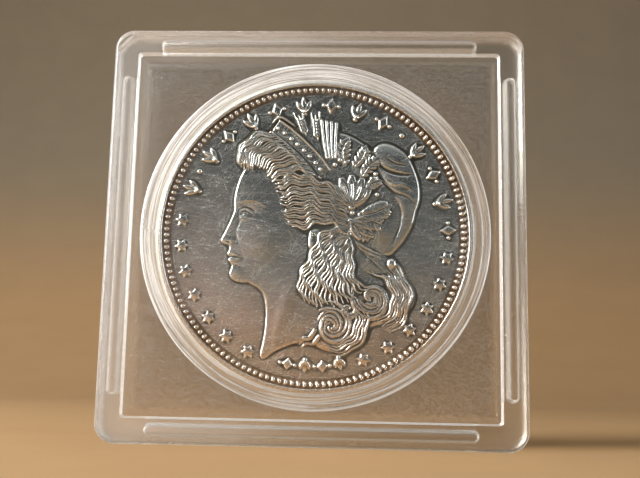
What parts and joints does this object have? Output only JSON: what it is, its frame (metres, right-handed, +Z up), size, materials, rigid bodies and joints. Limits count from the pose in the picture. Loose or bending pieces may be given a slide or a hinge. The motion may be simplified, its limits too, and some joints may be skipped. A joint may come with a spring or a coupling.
{
  "type": "coin capsule",
  "caption": "Clear square snap-together holder standing on edge, with a round window drum on each face, and a large silver coin seated inside.",
  "frame": {"origin": "middle of the lower edge, on the plane where the two shells meet", "axes": "+Z up, the coin's obverse looks towards -Y, +X to the right of someone looking at the obverse"},
  "size_m": [0.0508, 0.0064, 0.0508],
  "materials": {
    "rear_plastic": "clear moulded polystyrene, frosted panel round the window",
    "front_plastic": "clear moulded polystyrene, frosted panel round the window",
    "silver": "worn silver with toning in the recesses"
  },
  "bodies": {
    "rear_shell": {"rear_shell": "rear_plastic"},
    "front_shell": {"front_shell": "front_plastic"},
    "coin": {"coin": "silver"}
  },
  "joints": [
    {"name": "front_shell_lift", "type": "slide", "parent": "rear_shell", "child": "front_shell", "axis": [0, -1, 0], "range_m": [0, 0.02]},
    {"name": "coin_lift", "type": "slide", "parent": "rear_shell", "child": "coin", "axis": [0, -1, 0], "range_m": [0, 0.01]}
  ],
  "couplings": [
    {"joint": "coin_lift", "follows": "front_shell_lift", "ratio": 0.5}
  ]
}
